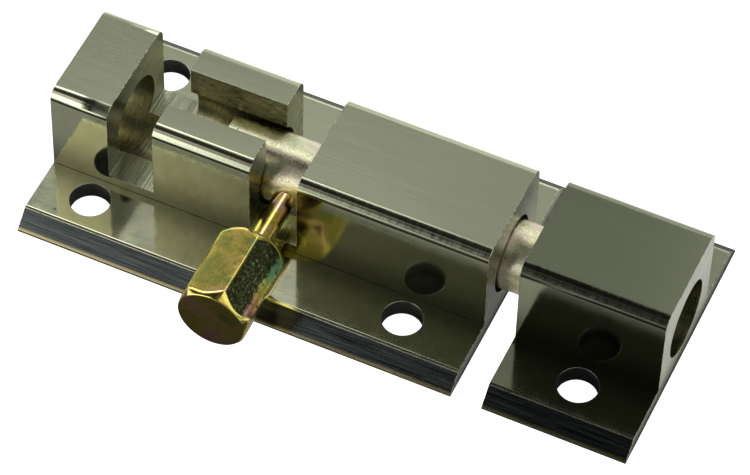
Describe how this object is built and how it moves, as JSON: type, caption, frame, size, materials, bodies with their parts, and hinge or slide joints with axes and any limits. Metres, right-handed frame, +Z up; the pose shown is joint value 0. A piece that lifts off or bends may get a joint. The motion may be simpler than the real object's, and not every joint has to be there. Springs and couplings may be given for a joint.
{
  "type": "toggle bolt latch",
  "caption": "Surface-mounted sliding bolt latch: sawn extruded body and matching keeper, round bolt through both, and a hexagonal knob pin that drops into a gap to lock.",
  "frame": {"origin": "middle of the body's underside, on the surface the latch is screwed to, straight under the bolt", "axes": "+X along the bolt towards the keeper, -Y the side the knob lies on, +Z up off the mounting surface"},
  "size_m": [0.0695, 0.0366, 0.0136],
  "materials": {
    "anodised_body": "olive bronze anodised extrusion, brushed along its length, sawn ends",
    "anodised_keeper": "olive bronze anodised extrusion, brushed along its length, bright sawn ends",
    "pale_zinc": "pale zinc plating with pink and green stains and dark specks",
    "yellow_chromate": "glossy iridescent yellow chromate over zinc plating"
  },
  "bodies": {
    "latch": {"latch_body": "anodised_body", "keeper": "anodised_keeper"},
    "bolt": {"bolt_rod": "pale_zinc"},
    "knob": {"knob_pin": "yellow_chromate"}
  },
  "joints": [
    {"name": "bolt_slide", "type": "slide", "parent": "latch", "child": "bolt", "axis": [1, 0, 0], "range_m": [-0.0014, 0.0014]},
    {"name": "knob_turn", "type": "hinge", "parent": "bolt", "child": "knob", "pos_m": [0.00075, 0, 0.00653], "axis": [-1, 0, 0], "range_deg": [0, 178.2]}
  ]
}
